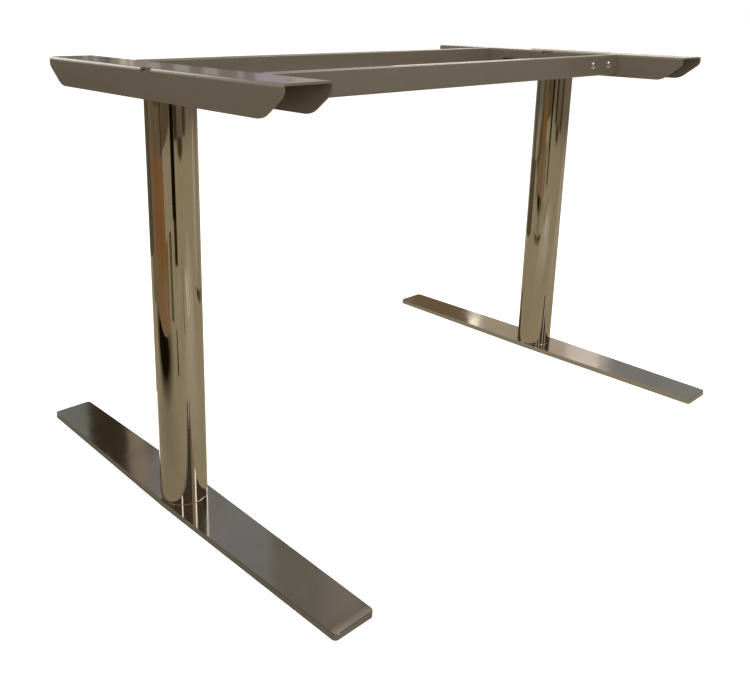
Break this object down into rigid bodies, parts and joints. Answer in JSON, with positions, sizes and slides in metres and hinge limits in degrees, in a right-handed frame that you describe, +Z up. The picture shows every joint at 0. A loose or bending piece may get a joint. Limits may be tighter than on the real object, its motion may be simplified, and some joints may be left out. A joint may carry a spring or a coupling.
{
  "type": "table base",
  "caption": "Fixed-height table base: two chromed columns on flat tapered feet, painted channel arms on top, joined by rectangular tubes.",
  "frame": {"origin": "on the floor, midway between the two columns", "axes": "+X from the left leg to the right leg along the tubes, +Y from the front to the rear, +Z up"},
  "size_m": [1.0856, 0.808, 0.7],
  "materials": {
    "chrome": "polished",
    "frame_paint": "taupe powder coat, satin",
    "zinc": "bright zinc",
    "plain_steel": "plain"
  },
  "bodies": {
    "root": {"left_foot": "chrome", "left_column": "chrome", "left_base_plug": "plain_steel", "left_foot_screws": "zinc", "left_head_plate": "plain_steel", "left_saddle": "frame_paint", "left_saddle_screws": "zinc", "left_arm": "frame_paint", "right_foot": "chrome", "right_column": "chrome", "right_base_plug": "plain_steel", "right_foot_screws": "zinc", "right_head_plate": "plain_steel", "right_saddle": "frame_paint", "right_saddle_screws": "zinc", "right_arm": "frame_paint", "front_stretcher": "frame_paint", "front_left_tongue": "frame_paint", "front_left_stretcher_screws": "zinc", "front_right_tongue": "frame_paint", "front_right_stretcher_screws": "zinc", "rear_stretcher": "frame_paint", "rear_left_tongue": "frame_paint", "rear_left_stretcher_screws": "zinc", "rear_right_tongue": "frame_paint", "rear_right_stretcher_screws": "zinc"}
  },
  "joints": []
}
